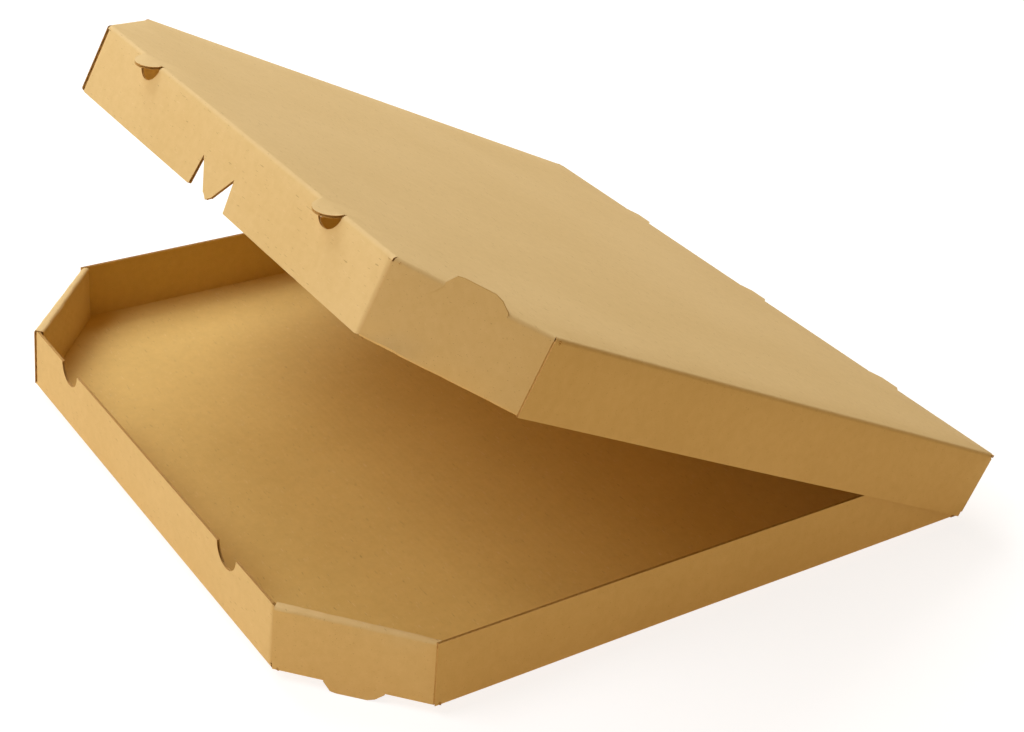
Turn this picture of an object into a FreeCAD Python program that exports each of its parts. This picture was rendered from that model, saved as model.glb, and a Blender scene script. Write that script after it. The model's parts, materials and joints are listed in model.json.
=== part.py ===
import FreeCAD, Part
import os

import Sketcher

# Shallow folding food box of thin corrugated board, with its front corners cut off.
# It is one folded sheet in two stiff halves, the tray and the lid, which meet at the
# crease along the bottom of the rear wall.
# Frame: +X right and -Y front, +Z up, the origin at the middle of the tray's underside.

doc = FreeCAD.newDocument("folding_food_box")

# Driving sizes, in millimetres and degrees.
SIZES = [
    ("board", 1.5, "thickness of the corrugated board"),
    ("tray_width", 326.0, "across the tray's side walls, outside, at the floor"),
    ("tray_depth", 311.0, "from the tray's front wall, outside, to the hinge crease"),
    ("tray_wall", 28.8, "height of the tray's walls, underside of the floor included"),
    ("tray_lean", 2.0, "angle by which the tray's walls lean inwards"),
    ("cut_across", 47.2, "width of the cut corner along the tray's front"),
    ("cut_along", 43.0, "length of the cut corner along the tray's side"),
    ("roll_thick", 2.7, "inner layers of a corner wall at its front end: tuck flap and rolled panel"),
    ("roll_thin", 1.6, "inner layers of a corner wall at its side end: rolled panel alone"),
    ("roll_round", 1.0, "rounding of a corner wall's rolled rim"),
    ("panel_setback", 1.0, "distance of a corner's outer panel from each end of its wall"),
    ("lid_wall", 31.0, "height of the lid's walls, top panel included"),
    ("lid_open", 26.0, "angle between the standing lid and the closed one"),
    ("side_gap", 0.5, "clearance of the lid's side walls outside the tray's"),
    ("front_gap", 0.8, "clearance of the lid's front wall as it swings past the tray's"),
    ("corner_gap", 0.4, "clearance between the corner walls of lid and tray"),
    ("crease_gap", 0.3, "clearance between the rear wall and what lies in front of it"),
    ("fold_round", 0.8, "rounding of the outer folds round the floor and the top panel"),
    ("vent_round", 8.0, "radius of a half-round vent and of its standing flap"),
    ("vent_spread", 151.0, "distance between the two front vents"),
    ("tab_root", 24.0, "width of a corner's locking tab at its fold"),
    ("tab_tip", 15.0, "width of a corner's locking tab at its tip"),
    ("tab_reach", 4.0, "height by which a corner's locking tab stands out"),
    ("lock_play", 0.5, "play at each side of the rolled panel's tongue in its slot"),
    ("tongue_root", 26.0, "width of the front closing tongue between the tops of its notches"),
    ("tongue_tip", 8.0, "width of the front closing tongue at its tip"),
    ("tongue_height", 14.0, "height of the notches beside the front closing tongue"),
    ("notch_flare", 1.5, "widening of each notch towards the wall's edge"),
    ("tongue_round", 3.0, "rounding of the closing tongue's tip"),
    ("foot_round", 1.5, "rounding of the wall's edge where each notch begins"),
    ("rear_tab_root", 21.0, "width of a rear vent's flap at its fold"),
    ("rear_tab_tip", 10.0, "width of a rear vent's flap at its tip"),
    ("rear_tab_reach", 3.7, "length of a rear vent's flap"),
    ("rear_tab_pitch", 94.0, "distance between the rear vents"),
    ("ear_length", 35.0, "length of the ears that fold in behind the rear wall"),
    ("ear_drop", 2.5, "distance of an ear's edge from the edge of its side wall"),
    ("ear_slope", 4.0, "fall of an ear's free edge from its fold to its end"),
]

sizes = doc.addObject("Spreadsheet::Sheet", "Sizes")
for row, (alias, value, meaning) in enumerate(SIZES, start=1):
    sizes.set(f"A{row}", alias)
    sizes.set(f"B{row}", str(value))
    sizes.set(f"C{row}", meaning)
    sizes.setAlias(f"B{row}", alias)

# Worked-out sizes. A corner wall has an outer panel, one board thick, and behind it the
# inner layers, so each half has a cut of the whole outline and a deeper one of its inner
# part. The lid's cut is laid round the tray's corner wall with the corner clearance.
WORKED = [
    ("tray_half", "Sizes.tray_width / 2"),
    ("tray_reach", "Sizes.tray_depth"),
    ("tray_slant", "sqrt(Sizes.cut_across ^ 2 + Sizes.cut_along ^ 2)"),
    ("tray_across", "Sizes.cut_across"),
    ("tray_along", "Sizes.cut_along"),
    ("swing", "sqrt((Sizes.tray_depth - Sizes.tray_wall * tan(Sizes.tray_lean * 1 deg)) ^ 2"
              " + Sizes.tray_wall ^ 2)"),
    ("lid_half", "tray_half + Sizes.side_gap + Sizes.board"),
    ("lid_reach", "max(Sizes.tray_depth; swing) + Sizes.front_gap + Sizes.board"),
    ("lid_across", "Sizes.cut_across + lid_half - tray_half"
                   " + (lid_reach - tray_reach) * Sizes.cut_across / Sizes.cut_along"
                   " - (Sizes.board + Sizes.roll_thick + Sizes.corner_gap) * tray_slant"
                   " / Sizes.cut_along"),
    ("lid_along", "Sizes.cut_along + lid_reach - tray_reach"
                  " + (lid_half - tray_half) * Sizes.cut_along / Sizes.cut_across"
                  " - (Sizes.board + Sizes.roll_thin + Sizes.corner_gap) * tray_slant"
                  " / Sizes.cut_across"),
    ("lid_slant", "sqrt(lid_across ^ 2 + lid_along ^ 2)"),
]
for half in ("tray", "lid"):
    WORKED += [
        (f"{half}_in_across", f"{half}_across + Sizes.board * {half}_slant / {half}_along"),
        (f"{half}_in_along", f"{half}_along + Sizes.board * {half}_slant / {half}_across"),
        (f"{half}_in_slant", f"sqrt({half}_in_across ^ 2 + {half}_in_along ^ 2)"),
        (f"{half}_roll_across",
         f"{half}_half - {half}_in_across + Sizes.board * {half}_in_across / {half}_in_along"
         f" - Sizes.roll_thick * {half}_in_slant / {half}_in_along"),
        (f"{half}_roll_along",
         f"{half}_reach - {half}_in_along + Sizes.board * {half}_in_along / {half}_in_across"
         f" - Sizes.roll_thin * {half}_in_slant / {half}_in_across"),
    ]

worked = doc.addObject("Spreadsheet::Sheet", "Worked")
for row, (alias, formula) in enumerate(WORKED, start=1):
    worked.set(f"A{row}", alias)
    worked.set(f"B{row}", f"={formula}")
    worked.setAlias(f"B{row}", alias)
doc.recompute()


def size(expression):
    """Value of an expression of the sheets, in millimetres or degrees."""
    value = sizes.evalExpression(str(expression))
    return float(getattr(value, "Value", value))


def bind(item, **expressions):
    """Tie properties of an object to expressions of the sheets."""
    for name, expression in expressions.items():
        item.setExpression(name, str(expression))
    return item


def seat(item, x=0, y=0, z=0, axis=(0, 0, 1), angle=0):
    """Place an object: its position and the angle of its turn follow the sheets."""
    turn = FreeCAD.Rotation(FreeCAD.Vector(*axis), size(angle))
    item.Placement = FreeCAD.Placement(FreeCAD.Vector(size(x), size(y), size(z)), turn)
    item.setExpression("Placement.Base.x", str(x))
    item.setExpression("Placement.Base.y", str(y))
    item.setExpression("Placement.Base.z", str(z))
    item.setExpression("Placement.Rotation.Angle", str(angle))
    return item


def draw_polygon(sketch, corners):
    """Draw a closed outline whose corners stand at coordinates from the sheets."""
    count = len(corners)
    points = [FreeCAD.Vector(size(x), size(y), 0) for x, y in corners]
    for index in range(count):
        sketch.addGeometry(Part.LineSegment(points[index], points[(index + 1) % count]), False)
    for index in range(count):
        sketch.addConstraint(Sketcher.Constraint("Coincident", index, 2, (index + 1) % count, 1))
    for index, (x, y) in enumerate(corners):
        for kind, expression in (("DistanceX", x), ("DistanceY", y)):
            length = size(expression)
            number = sketch.addConstraint(Sketcher.Constraint(kind, -1, 1, index, 1, length))
            sketch.setExpression(f"Constraints[{number}]", str(expression))
    return sketch


def flat_piece(name, corners, thickness, start=0):
    """Board piece lying flat: its outline is drawn in plan, from height start upwards."""
    sketch = doc.addObject("Sketcher::SketchObject", name + "_outline")
    seat(draw_polygon(sketch, corners), z=start)
    piece = doc.addObject("Part::Extrusion", name)
    piece.Base = sketch
    piece.DirMode = "Normal"
    piece.Solid = True
    return bind(piece, LengthFwd=thickness)


def upright_piece(name, corners, thickness, start=0):
    """Board piece standing across Y: its outline is drawn in X and Z, from y start to -Y."""
    sketch = doc.addObject("Sketcher::SketchObject", name + "_outline")
    seat(draw_polygon(sketch, corners), y=start, axis=(1, 0, 0), angle=90)
    piece = doc.addObject("Part::Extrusion", name)
    piece.Base = sketch
    piece.DirMode = "Normal"
    piece.Solid = True
    return bind(piece, LengthFwd=thickness)


def join(name, pieces):
    joined = doc.addObject("Part::MultiFuse", name)
    joined.Shapes = pieces
    joined.Refine = True
    return joined


def cut_away(name, base, tool):
    cut = doc.addObject("Part::Cut", name)
    cut.Base = base
    cut.Tool = tool
    cut.Refine = True
    return cut


def mirrored(name, source):
    """The same piece on the left of the box."""
    twin = doc.addObject("Part::Mirroring", name)
    twin.Source = source
    twin.Normal = FreeCAD.Vector(1, 0, 0)
    return twin


# Both halves are folded in one frame of their own: the hinge crease on the X axis, the
# front at -Y, the outside of the floor or top panel at z = 0 and the walls up from it.

def body_sketch(body, name, corners, height):
    """Sketch on the body's own horizontal plane, lifted to a height."""
    plane = [item for item in body.Origin.OriginFeatures if item.Role == "XY_Plane"][0]
    sketch = body.newObject("Sketcher::SketchObject", name)
    sketch.AttachmentSupport = [(plane, "")]
    sketch.MapMode = "FlatFace"
    sketch.setExpression("AttachmentOffset.Base.z", str(height))
    return draw_polygon(sketch, corners)


def both_sides(right_corners):
    """Whole outline from its right half, listed from the rear to the front."""
    left_corners = [(f"-({x})", y) for x, y in reversed(right_corners)]
    return right_corners + left_corners


def folded_shell(half, wall, lean, rear, hollow_rear):
    """Panel and walls of one half: padded outline, rounded folds, then the hollow."""
    body = doc.addObject("PartDesign::Body", f"{half}_shell")
    outline = body_sketch(body, f"{half}_outline", both_sides([
        (f"Worked.{half}_half", f"-({rear})"),
        (f"Worked.{half}_half", f"-(Worked.{half}_reach - Worked.{half}_in_along)"),
        (f"Worked.{half}_half - Worked.{half}_in_across", f"-Worked.{half}_reach"),
    ]), 0)
    block = body.newObject("PartDesign::Pad", f"{half}_block")
    block.Profile = outline
    bind(block, Length=wall, TaperAngle=f"-({lean})")
    doc.recompute()
    folds = body.newObject("PartDesign::Fillet", f"{half}_folds")
    folds.Base = (block, outer_folds(block.Shape, half))
    bind(folds, Radius="min(Sizes.fold_round; Sizes.board * 0.8)")
    hollow_outline = body_sketch(body, f"{half}_hollow_outline", both_sides([
        (f"Worked.{half}_half - Sizes.board", hollow_rear),
        (f"Worked.{half}_half - Sizes.board", f"-Worked.{half}_roll_along"),
        (f"Worked.{half}_roll_across", f"-(Worked.{half}_reach - Sizes.board)"),
    ]), "Sizes.board")
    hollow = body.newObject("PartDesign::Pocket", f"{half}_hollow")
    hollow.Profile = hollow_outline
    hollow.Reversed = True
    bind(hollow, Length=wall, TaperAngle=f"-({lean})")
    doc.recompute()
    rims = body.newObject("PartDesign::Fillet", f"{half}_rims")
    rims.Base = (hollow, rolled_rims(hollow.Shape, half, size(wall)))
    bind(rims, Radius="min(Sizes.roll_round; Sizes.roll_thin * 0.8)")
    doc.recompute()
    return body


def outer_folds(shape, half):
    """Edges round the panel's outside, but for the rear one and the two at the corners."""
    found = []
    for number, edge in enumerate(shape.Edges, start=1):
        box = edge.BoundBox
        low = box.ZMax < 1e-4
        along_side = box.XLength < 1e-4 and box.YLength > 1e-4
        along_front = box.YLength < 1e-4 and box.YMin < -size(f"Worked.{half}_reach") + 1e-3
        if low and (along_side or along_front):
            found.append(f"Edge{number}")
    return found


def rolled_rims(shape, half, height):
    """Inner edges on top of the two corner walls."""
    found = []
    for number, edge in enumerate(shape.Edges, start=1):
        box = edge.BoundBox
        on_top = abs(box.ZMin - height) < 1e-3 and abs(box.ZMax - height) < 1e-3
        slanting = box.XLength > size("Sizes.board") * 4 and box.YLength > size("Sizes.board") * 4
        if on_top and slanting:
            found.append((abs(edge.CenterOfMass.x), f"Edge{number}"))
    found.sort()
    return [name for distance, name in found[:2]]


def corner_wall(half, wall, lean):
    """Outer panel of a cut corner, with the tab that its slot leaves standing past the fold."""
    middle = f"Worked.{half}_in_slant / 2"
    panel = doc.addObject("Part::Box", f"{half}_corner_panel")
    bind(panel, Length=f"Worked.{half}_in_slant - 2 * Sizes.panel_setback",
         Width="Sizes.board", Height=wall)
    seat(panel, x="Sizes.panel_setback", y="-Sizes.board")
    doc.recompute()
    rolled = doc.addObject("Part::Fillet", f"{half}_corner_rim")
    rolled.Base = panel
    radius = min(size("Sizes.roll_round"), 0.8 * size("Sizes.board"))
    rolled.Edges = [(number, radius, radius) for number, edge in enumerate(panel.Shape.Edges, start=1)
                    if edge.BoundBox.YMax < -size("Sizes.board") + 1e-4
                    and edge.BoundBox.ZMin > size(wall) - 1e-4]
    seat(rolled, axis=(-1, 0, 0), angle=lean)
    tab = upright_piece(f"{half}_corner_tab", [
        (f"{middle} - Sizes.tab_root / 2", "Sizes.board"),
        (f"{middle} - Sizes.tab_root / 2", 0),
        (f"{middle} - Sizes.tab_tip / 2", "-Sizes.tab_reach"),
        (f"{middle} + Sizes.tab_tip / 2", "-Sizes.tab_reach"),
        (f"{middle} + Sizes.tab_root / 2", 0),
        (f"{middle} + Sizes.tab_root / 2", "Sizes.board"),
    ], "Sizes.board")
    seat(tab, axis=(-1, 0, 0), angle=lean)
    return join(f"{half}_corner_wall", [rolled, tab])


def corner_slot(half):
    """Slot beside the corner's fold, less the rolled panel's tongue that locks in it."""
    middle = f"Worked.{half}_in_slant / 2"
    opening = flat_piece(f"{half}_slot_opening", [
        (f"{middle} - Sizes.tab_root / 2", 0),
        (f"{middle} + Sizes.tab_root / 2", 0),
        (f"{middle} + Sizes.tab_tip / 2", "Sizes.tab_reach"),
        (f"{middle} - Sizes.tab_tip / 2", "Sizes.tab_reach"),
    ], "Sizes.board * 2", "-Sizes.board")
    tongue = doc.addObject("Part::Box", f"{half}_slot_tongue")
    bind(tongue, Length="Sizes.tab_tip - 2 * Sizes.lock_play", Width="Sizes.board",
         Height="Sizes.board * 2")
    seat(tongue, x=f"{middle} - Sizes.tab_tip / 2 + Sizes.lock_play",
         y="(Sizes.roll_thick + Sizes.roll_thin) / 2 - Sizes.board", z="0")
    return cut_away(f"{half}_slot", opening, tongue)


def at_corner(half, item):
    """Move a piece from the frame of its corner fold to the half's right front corner."""
    return seat(item, x=f"Worked.{half}_half - Worked.{half}_in_across",
                y=f"-Worked.{half}_reach",
                angle=f"atan2(Worked.{half}_in_along; Worked.{half}_in_across)")


def ear(half, wall, lean, rear_face):
    """Ear of a side wall, folded in behind the rear wall."""
    root = f"Worked.{half}_half - Sizes.board / 2"
    top = f"{wall} - Sizes.ear_drop"
    end = f"Worked.{half}_half - Sizes.ear_length"
    return upright_piece(f"{half}_ear", [
        (root, "Sizes.board / 2"),
        (f"{root} - ({top}) * tan({lean} * 1 deg)", top),
        (end, f"{top} - Sizes.ear_slope"),
        (end, "Sizes.board / 2"),
    ], "Sizes.board", f"-({rear_face})")


def half_box(half, wall, lean, rear, hollow_rear, ear_face, extra_pieces):
    """One folded half: shell, slots, both corner walls and both ears, with any flaps."""
    shell = folded_shell(half, wall, lean, rear, hollow_rear)
    slot = at_corner(half, corner_slot(half))
    slots = join(f"{half}_slots", [slot, mirrored(f"{half}_slot_left", slot)])
    slotted = cut_away(f"{half}_slotted", shell, slots)
    corner = at_corner(half, corner_wall(half, wall, lean))
    flap = ear(half, wall, lean, ear_face)
    pieces = [slotted, corner, mirrored(f"{half}_corner_wall_left", corner)]
    pieces += [flap, mirrored(f"{half}_ear_left", flap)]
    return join(f"{half}_folded", pieces + extra_pieces)


def vent_cylinder(name, x, front, height):
    """Round cutter across a front wall, from well behind it to well before it."""
    cutter = doc.addObject("Part::Cylinder", name)
    bind(cutter, Radius="Sizes.vent_round", Height="8 * Sizes.board")
    return seat(cutter, x=x, y=f"-{front} + 4 * Sizes.board", z=height, axis=(1, 0, 0), angle=90)


SIDES = (("left", "-"), ("right", ""))

# Tray. Its walls lean in a little. Behind, it stops short of the rear wall, which belongs
# to the lid, and its side walls stop short of the lid's ears too.
tray_ear_face = "2 * Sizes.board + Sizes.crease_gap"
tray_folded = half_box("tray", "Sizes.tray_wall", "Sizes.tray_lean",
                       "Sizes.board + Sizes.crease_gap", "Sizes.board", tray_ear_face, [])

tray_cutters = [vent_cylinder(f"tray_vent_{side}", f"{sign}Sizes.vent_spread / 2",
                              "Worked.tray_reach", "Sizes.tray_wall") for side, sign in SIDES]
side_trim = doc.addObject("Part::Box", "tray_side_trim")
bind(side_trim, Length="2 * Worked.lid_half", Width=tray_ear_face, Height="Sizes.tray_wall")
seat(side_trim, x="-Worked.lid_half", y=f"-({tray_ear_face})", z="Sizes.board")
tray_openings = join("tray_openings", tray_cutters + [side_trim])
base_tray = cut_away("base_tray", tray_folded, tray_openings)
seat(base_tray, y="Sizes.tray_depth / 2")

# Lid. It is folded upside down and turned over. The rear wall is part of it, since the
# box opens at the crease below that wall. The half-discs cut out of the front vents stay
# level with the top panel and stand forward; the rear vents' flaps stand out behind.
visors = []
for side, sign in SIDES:
    visor = doc.addObject("Part::Cylinder", f"lid_visor_{side}")
    bind(visor, Radius="Sizes.vent_round", Height="Sizes.board")
    seat(visor, x=f"{sign}Sizes.vent_spread / 2", y="-Worked.lid_reach")
    visors.append(visor)

REAR_VENTS = (("left", -1), ("middle", 0), ("right", 1))
rear_flaps = []
for place, step in REAR_VENTS:
    centre = f"{step} * Sizes.rear_tab_pitch"
    rear_flaps.append(flat_piece(f"lid_rear_flap_{place}", [
        (f"{centre} - Sizes.rear_tab_root / 2", "-Sizes.board"),
        (f"{centre} + Sizes.rear_tab_root / 2", "-Sizes.board"),
        (f"{centre} + Sizes.rear_tab_root / 2", 0),
        (f"{centre} + Sizes.rear_tab_tip / 2", "Sizes.rear_tab_reach"),
        (f"{centre} - Sizes.rear_tab_tip / 2", "Sizes.rear_tab_reach"),
        (f"{centre} - Sizes.rear_tab_root / 2", 0),
    ], "Sizes.board"))

lid_folded = half_box("lid", "Sizes.lid_wall", "0", "0", "-Sizes.board", "Sizes.board",
                      visors + rear_flaps)
seat(lid_folded, z="Sizes.lid_wall", axis=(0, 1, 0), angle=180)

# Openings of the closed lid, seen upright: front vents under their flaps, rear vents, and
# the two notches that leave the closing tongue in the front wall's edge.
under_top = "Sizes.lid_wall - Sizes.board"
lid_cutters = []
for side, sign in SIDES:
    disc = vent_cylinder(f"lid_vent_disc_{side}", f"{sign}Sizes.vent_spread / 2",
                         "Worked.lid_reach", "Sizes.lid_wall")
    above = doc.addObject("Part::Box", f"lid_vent_limit_{side}")
    bind(above, Length="4 * Sizes.vent_round", Width="16 * Sizes.board",
         Height="2 * Sizes.vent_round")
    seat(above, x=f"{sign}Sizes.vent_spread / 2 - 2 * Sizes.vent_round",
         y="-Worked.lid_reach - 8 * Sizes.board", z=under_top)
    lid_cutters.append(cut_away(f"lid_vent_{side}", disc, above))

for place, step in REAR_VENTS:
    centre = f"{step} * Sizes.rear_tab_pitch"
    narrowing = "(Sizes.rear_tab_root - Sizes.rear_tab_tip) / 2 / Sizes.rear_tab_reach * Sizes.board"
    lid_cutters.append(upright_piece(f"lid_rear_vent_{place}", [
        (f"{centre} - Sizes.rear_tab_root / 2 + {narrowing}", under_top),
        (f"{centre} + Sizes.rear_tab_root / 2 - {narrowing}", under_top),
        (f"{centre} + Sizes.rear_tab_tip / 2", "Sizes.lid_wall - Sizes.rear_tab_reach"),
        (f"{centre} - Sizes.rear_tab_tip / 2", "Sizes.lid_wall - Sizes.rear_tab_reach"),
    ], "Sizes.board * 2", "Sizes.board / 2"))

for side, sign in SIDES:
    notch = upright_piece(f"lid_notch_{side}", [
        (f"{sign}(Sizes.tongue_root / 2 + Sizes.notch_flare)", "-Sizes.board"),
        (f"{sign}(Sizes.tongue_root / 2 + Sizes.notch_flare)", 0),
        (f"{sign}Sizes.tongue_root / 2", "Sizes.tongue_height"),
        (f"{sign}Sizes.tongue_tip / 2", 0),
        (f"{sign}Sizes.tongue_tip / 2", "-Sizes.board"),
    ], "Sizes.board * 4", "-Worked.lid_reach + 2 * Sizes.board")
    lid_cutters.append(notch)

lid_openings = join("lid_openings", lid_cutters)
lid_cut = cut_away("lid_cut", lid_folded, lid_openings)
doc.recompute()


def notch_edges(shape):
    """Edges through the front wall at the tongue's tip and at the notches' outer feet."""
    rounded = []
    tip = size("Sizes.tongue_tip") / 2
    foot = size("Sizes.tongue_root") / 2 + size("Sizes.notch_flare")
    tip_radius = min(size("Sizes.tongue_round"), 0.7 * tip)
    for number, edge in enumerate(shape.Edges, start=1):
        box = edge.BoundBox
        at_edge = box.ZMax < 1e-3 and box.XLength < 1e-3 and box.YMax < -size("Worked.lid_reach") / 2
        if at_edge and abs(abs(box.XMin) - tip) < 1e-3:
            rounded.append((number, tip_radius, tip_radius))
        elif at_edge and abs(abs(box.XMin) - foot) < 1e-3:
            radius = size("Sizes.foot_round")
            rounded.append((number, radius, radius))
    return rounded


lid = doc.addObject("Part::Fillet", "lid")
lid.Base = lid_cut
lid.Edges = notch_edges(lid_cut.Shape)
seat(lid, y="Sizes.tray_depth / 2", axis=(-1, 0, 0), angle="Sizes.lid_open")

# Both halves are checked before anything is written.
doc.recompute()
faulty = [item.Name for item in doc.Objects if "Invalid" in item.State or "Error" in item.State]
if faulty:
    raise RuntimeError("these objects did not build: " + ", ".join(faulty))

os.makedirs("parts", exist_ok=True)
for node in (base_tray, lid):
    node.Label = node.Name
    if node.Shape.isNull() or not node.Shape.isValid() or len(node.Shape.Solids) != 1:
        raise RuntimeError(f"{node.Label} is not one sound solid")
for node in (base_tray, lid):
    node.Shape.exportStep(f"parts/{node.Label}.step")
    box = node.Shape.optimalBoundingBox()
    print(f"{node.Label}: {node.Shape.Volume / 1000:.1f} cm3, "
          f"{box.XLength:.1f} x {box.YLength:.1f} x {box.ZLength:.1f} mm")
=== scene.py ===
# %% [markdown]
# # A pizza box folded from one sheet of corrugated board
# The real box is one die-cut sheet: a tray and a lid, which meet at a crease along the bottom
# of the rear wall. The solids come from the CAD frame, with their real size and their hinge.
# Here they get what makes board look like board: two paper liners with a wavy paper between
# them, soft folds, rolled corners, fibres and cut edges. We load the frame first.

import json
import math

import bmesh
import bpy
from mathutils import Matrix, Vector, noise


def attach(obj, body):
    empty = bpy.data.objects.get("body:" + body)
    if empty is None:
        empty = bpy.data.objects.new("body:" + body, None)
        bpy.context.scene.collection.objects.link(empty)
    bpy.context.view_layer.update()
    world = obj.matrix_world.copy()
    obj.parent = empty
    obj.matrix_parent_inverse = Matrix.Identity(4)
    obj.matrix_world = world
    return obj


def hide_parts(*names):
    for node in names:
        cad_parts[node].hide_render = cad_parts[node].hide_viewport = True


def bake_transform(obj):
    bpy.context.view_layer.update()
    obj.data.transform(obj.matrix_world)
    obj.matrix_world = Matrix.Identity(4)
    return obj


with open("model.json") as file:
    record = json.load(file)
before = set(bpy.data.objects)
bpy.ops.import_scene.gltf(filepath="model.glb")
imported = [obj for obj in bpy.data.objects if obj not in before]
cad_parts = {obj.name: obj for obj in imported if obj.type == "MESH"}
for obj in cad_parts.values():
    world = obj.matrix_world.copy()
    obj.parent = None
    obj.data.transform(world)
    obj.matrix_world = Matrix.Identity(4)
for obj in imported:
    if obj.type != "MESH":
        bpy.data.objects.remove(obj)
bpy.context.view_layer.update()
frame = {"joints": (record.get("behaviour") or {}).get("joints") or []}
# Blender's noise draws its offsets from the clock unless it gets a seed. The closed lid has
# little room over the tray: of the seeds 1 to 8, with 4 and 7 their outer papers touch.
NOISE_SEED = 1
noise.seed_set(NOISE_SEED)
MM = 0.001
lid_hinge = frame["joints"][0]
HINGE_Y = lid_hinge["pos_m"][1] / MM
LID_OPEN = math.radians(-lid_hinge["range_deg"][0])
print("hinge at y", HINGE_Y, "mm, lid open by", round(math.degrees(LID_OPEN), 1), "degrees")

# %% [markdown]
# ## The board
# Thin corrugated board is two flat papers, the liners, glued to a wavy one, the medium. We
# could make it one solid slab with a striped edge painted on. Real liners with a real wavy
# band at every cut edge look right from close by too, and cost few faces, because the wave
# is only made where a cut lets it be seen.

# %% Sizes of the board, in millimetres
BOARD = 1.5
MIDDLE = BOARD / 2
LINER = 0.26
MEDIUM = 0.16
FLUTE_PITCH = 3.3
FLUTE_STEPS = 8
# Rounding of the folds of the lid, and of the tray, which is folded tighter.
FOLD_RADIUS, TIGHT_FOLD = 1.25, 0.95
BAND_DEPTH, BAND_RECESS = 2.4, 0.08
# The knife crushes the board at its cuts, but not at the short relief cuts at fold ends.
EDGE_CRUSH, LONGEST_RELIEF = 0.75, 1.4
FLUTE_HEIGHT = (MIDDLE - LINER / 2) * EDGE_CRUSH - (LINER + MEDIUM) / 2
print("flutes", round(2 * FLUTE_HEIGHT, 2), "mm high at a pitch of", FLUTE_PITCH, "mm")

# %% [markdown]
# ## Two halves, one way of folding
# Tray and lid are folded in the same way: a panel, a front wall, side walls with ears, and
# cut corners whose walls roll over a tuck flap and lock in a slot. So one description with
# different numbers serves both. Each half is laid out in a folding frame of its own: hinge
# crease on the X axis, front at -Y, outside of the panel at z = 0, walls up. The places
# below are on the middle plane of the board, and the liners are put at both sides of it.


# %% Places in the folding frame
class Half:
    """Sizes of one folded half, in millimetres, and the places that follow from them."""

    def __init__(self, half, reach, wall, lean_degrees, cut_across, cut_along):
        self.half, self.reach, self.wall = half, reach, wall
        self.lean = math.tan(math.radians(lean_degrees))
        slant = math.hypot(cut_across, cut_along)
        self.cut_along = cut_along
        self.across = cut_across + BOARD * slant / cut_along
        self.along = cut_along + BOARD * slant / cut_across
        self.slant = math.hypot(self.across, self.along)
        self.turn = math.atan2(self.along, self.across)

    def inset(self, z):
        """How far the middle plane of a wall stands inside the outline at a height."""
        return MIDDLE + z * self.lean

    def front(self, x, z):
        return Vector((x, -self.reach + self.inset(z), z))

    def front_end(self, z):
        """Where the front wall folds into the tuck flap of the corner."""
        x = self.half - self.across - self.inset(z) * math.tan(self.turn / 2)
        return self.front(x, z)

    def side(self, y, z):
        return Vector((self.half - self.inset(z), y, z))

    def side_end(self, z):
        """Front end of the side wall, cut straight. Its raw edge stands past the corner wall."""
        return self.side(-self.reach + self.cut_along - SIDE_END_PROUD + z * self.lean / 2, z)

    def corner(self, u, v, z):
        """u runs along the cut corner from its front end, v inwards from its outline."""
        along = Vector((math.cos(self.turn), math.sin(self.turn), 0))
        inwards = Vector((-math.sin(self.turn), math.cos(self.turn), 0))
        start = Vector((self.half - self.across, -self.reach, z))
        return start + along * u + inwards * (v + z * self.lean)


SIDE_END_PROUD = 0.9
TRAY_WIDTH, TRAY_DEPTH, TRAY_WALL, TRAY_LEAN = 326.0, HINGE_Y * 2, 28.8, 2.0
CUT_ACROSS, CUT_ALONG = 47.2, 43.0
LID_WALL, SIDE_GAP, FRONT_GAP, CORNER_GAP = 31.0, 0.5, 0.8, 0.4
ROLL_THICK, ROLL_THIN = 2.7, 1.6

tray_size = Half(TRAY_WIDTH / 2, TRAY_DEPTH, TRAY_WALL, TRAY_LEAN, CUT_ACROSS, CUT_ALONG)
lid_half = TRAY_WIDTH / 2 + SIDE_GAP + BOARD
swing = math.hypot(TRAY_DEPTH - TRAY_WALL * tray_size.lean, TRAY_WALL)
lid_reach = max(TRAY_DEPTH, swing) + FRONT_GAP + BOARD
cut_slant = math.hypot(CUT_ACROSS, CUT_ALONG)
lid_across = (CUT_ACROSS + lid_half - tray_size.half
              + (lid_reach - TRAY_DEPTH) * CUT_ACROSS / CUT_ALONG
              - (BOARD + ROLL_THICK + CORNER_GAP) * cut_slant / CUT_ALONG)
lid_along = (CUT_ALONG + lid_reach - TRAY_DEPTH
             + (lid_half - tray_size.half) * CUT_ALONG / CUT_ACROSS
             - (BOARD + ROLL_THIN + CORNER_GAP) * cut_slant / CUT_ACROSS)
lid_size = Half(lid_half, lid_reach, LID_WALL, 0.0, lid_across, lid_along)
print("lid reaches", round(lid_reach, 2), "mm, cut corner", round(lid_size.slant, 1), "mm")

# %% [markdown]
# ## Panels
# A panel is one face with the outline that the knife cut. Each half is drawn as a right one,
# and the first is turned over to the left. Panels that share a fold share its end points, so
# merging doubles joins them into one sheet. Each panel remembers the direction across its
# flutes, because the flutes turn with the panel at every fold.


# %% Drawing panels
def arc(centre, radius, start, end, steps, place):
    """Points of an arc, put in space by a function of two coordinates."""
    points = []
    for step in range(steps + 1):
        angle = math.radians(start + (end - start) * step / steps)
        points.append(place(centre[0] + radius * math.cos(angle),
                            centre[1] + radius * math.sin(angle)))
    return points


def rounded_corner(before, corner, after, radius, steps=4):
    """Points that round the corner between two straight cuts."""
    towards, away = (before - corner).normalized(), (after - corner).normalized()
    half_angle = towards.angle(away) / 2
    tangent = radius / math.tan(half_angle)
    centre = corner + (towards + away).normalized() * (radius / math.sin(half_angle))
    first, last = corner + towards * tangent - centre, corner + away * tangent - centre
    return [centre + first.slerp(last, step / steps) for step in range(steps + 1)]


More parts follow.
